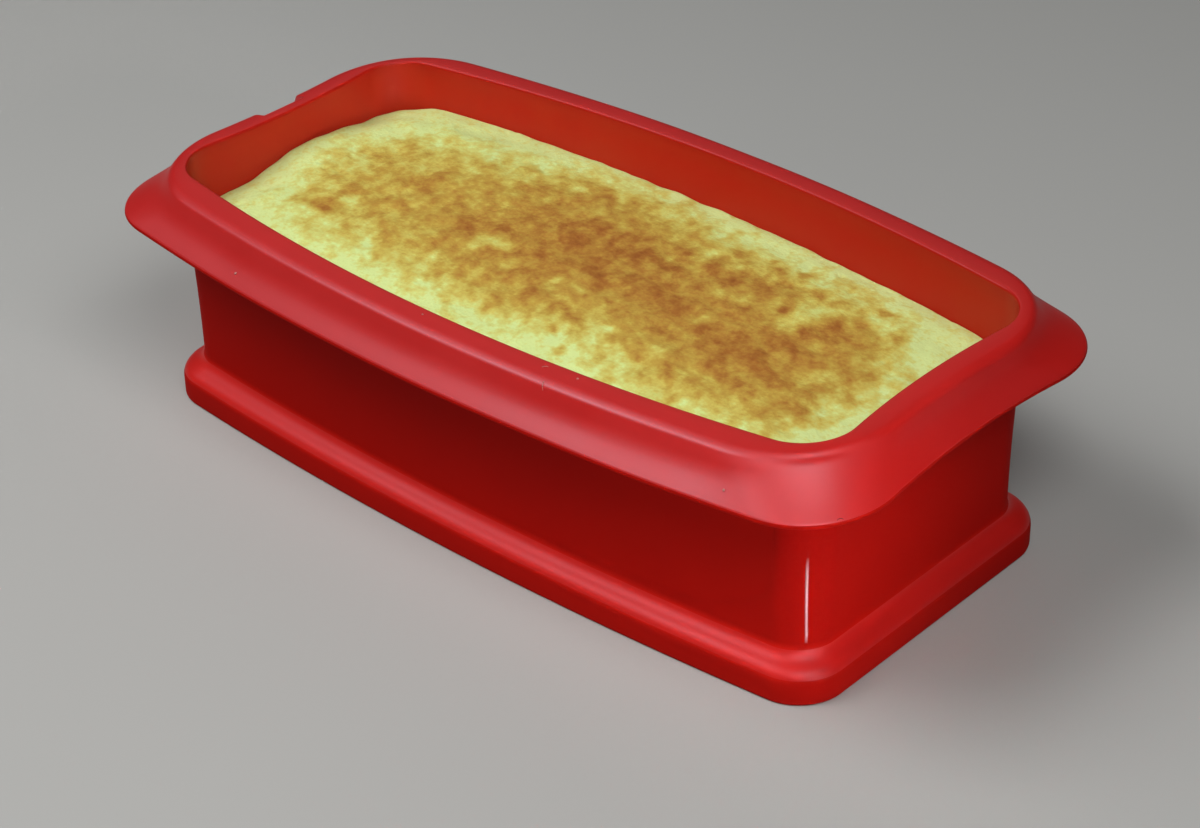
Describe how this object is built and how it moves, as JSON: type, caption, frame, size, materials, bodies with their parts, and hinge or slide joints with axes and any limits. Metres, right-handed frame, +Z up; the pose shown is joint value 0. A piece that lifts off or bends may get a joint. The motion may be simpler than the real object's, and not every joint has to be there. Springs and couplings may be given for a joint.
{
  "type": "sponge cake in a loaf mould",
  "caption": "Loaf-shaped sponge cake with a browned top, still in its flexible loaf mould with a wide flared lip and a stepped foot.",
  "frame": {"origin": "middle of the mould's flat underside", "axes": "+X along the loaf, away from the end with the notch in its rim; +Y across the loaf; +Z up"},
  "size_m": [0.2756, 0.1508, 0.0776],
  "materials": {
    "silicone": "satin moulded red silicone rubber",
    "sponge": "matt pale yellow crumb, its top mottled golden brown"
  },
  "bodies": {
    "root": {"mould": "silicone", "cake": "sponge"}
  },
  "joints": []
}
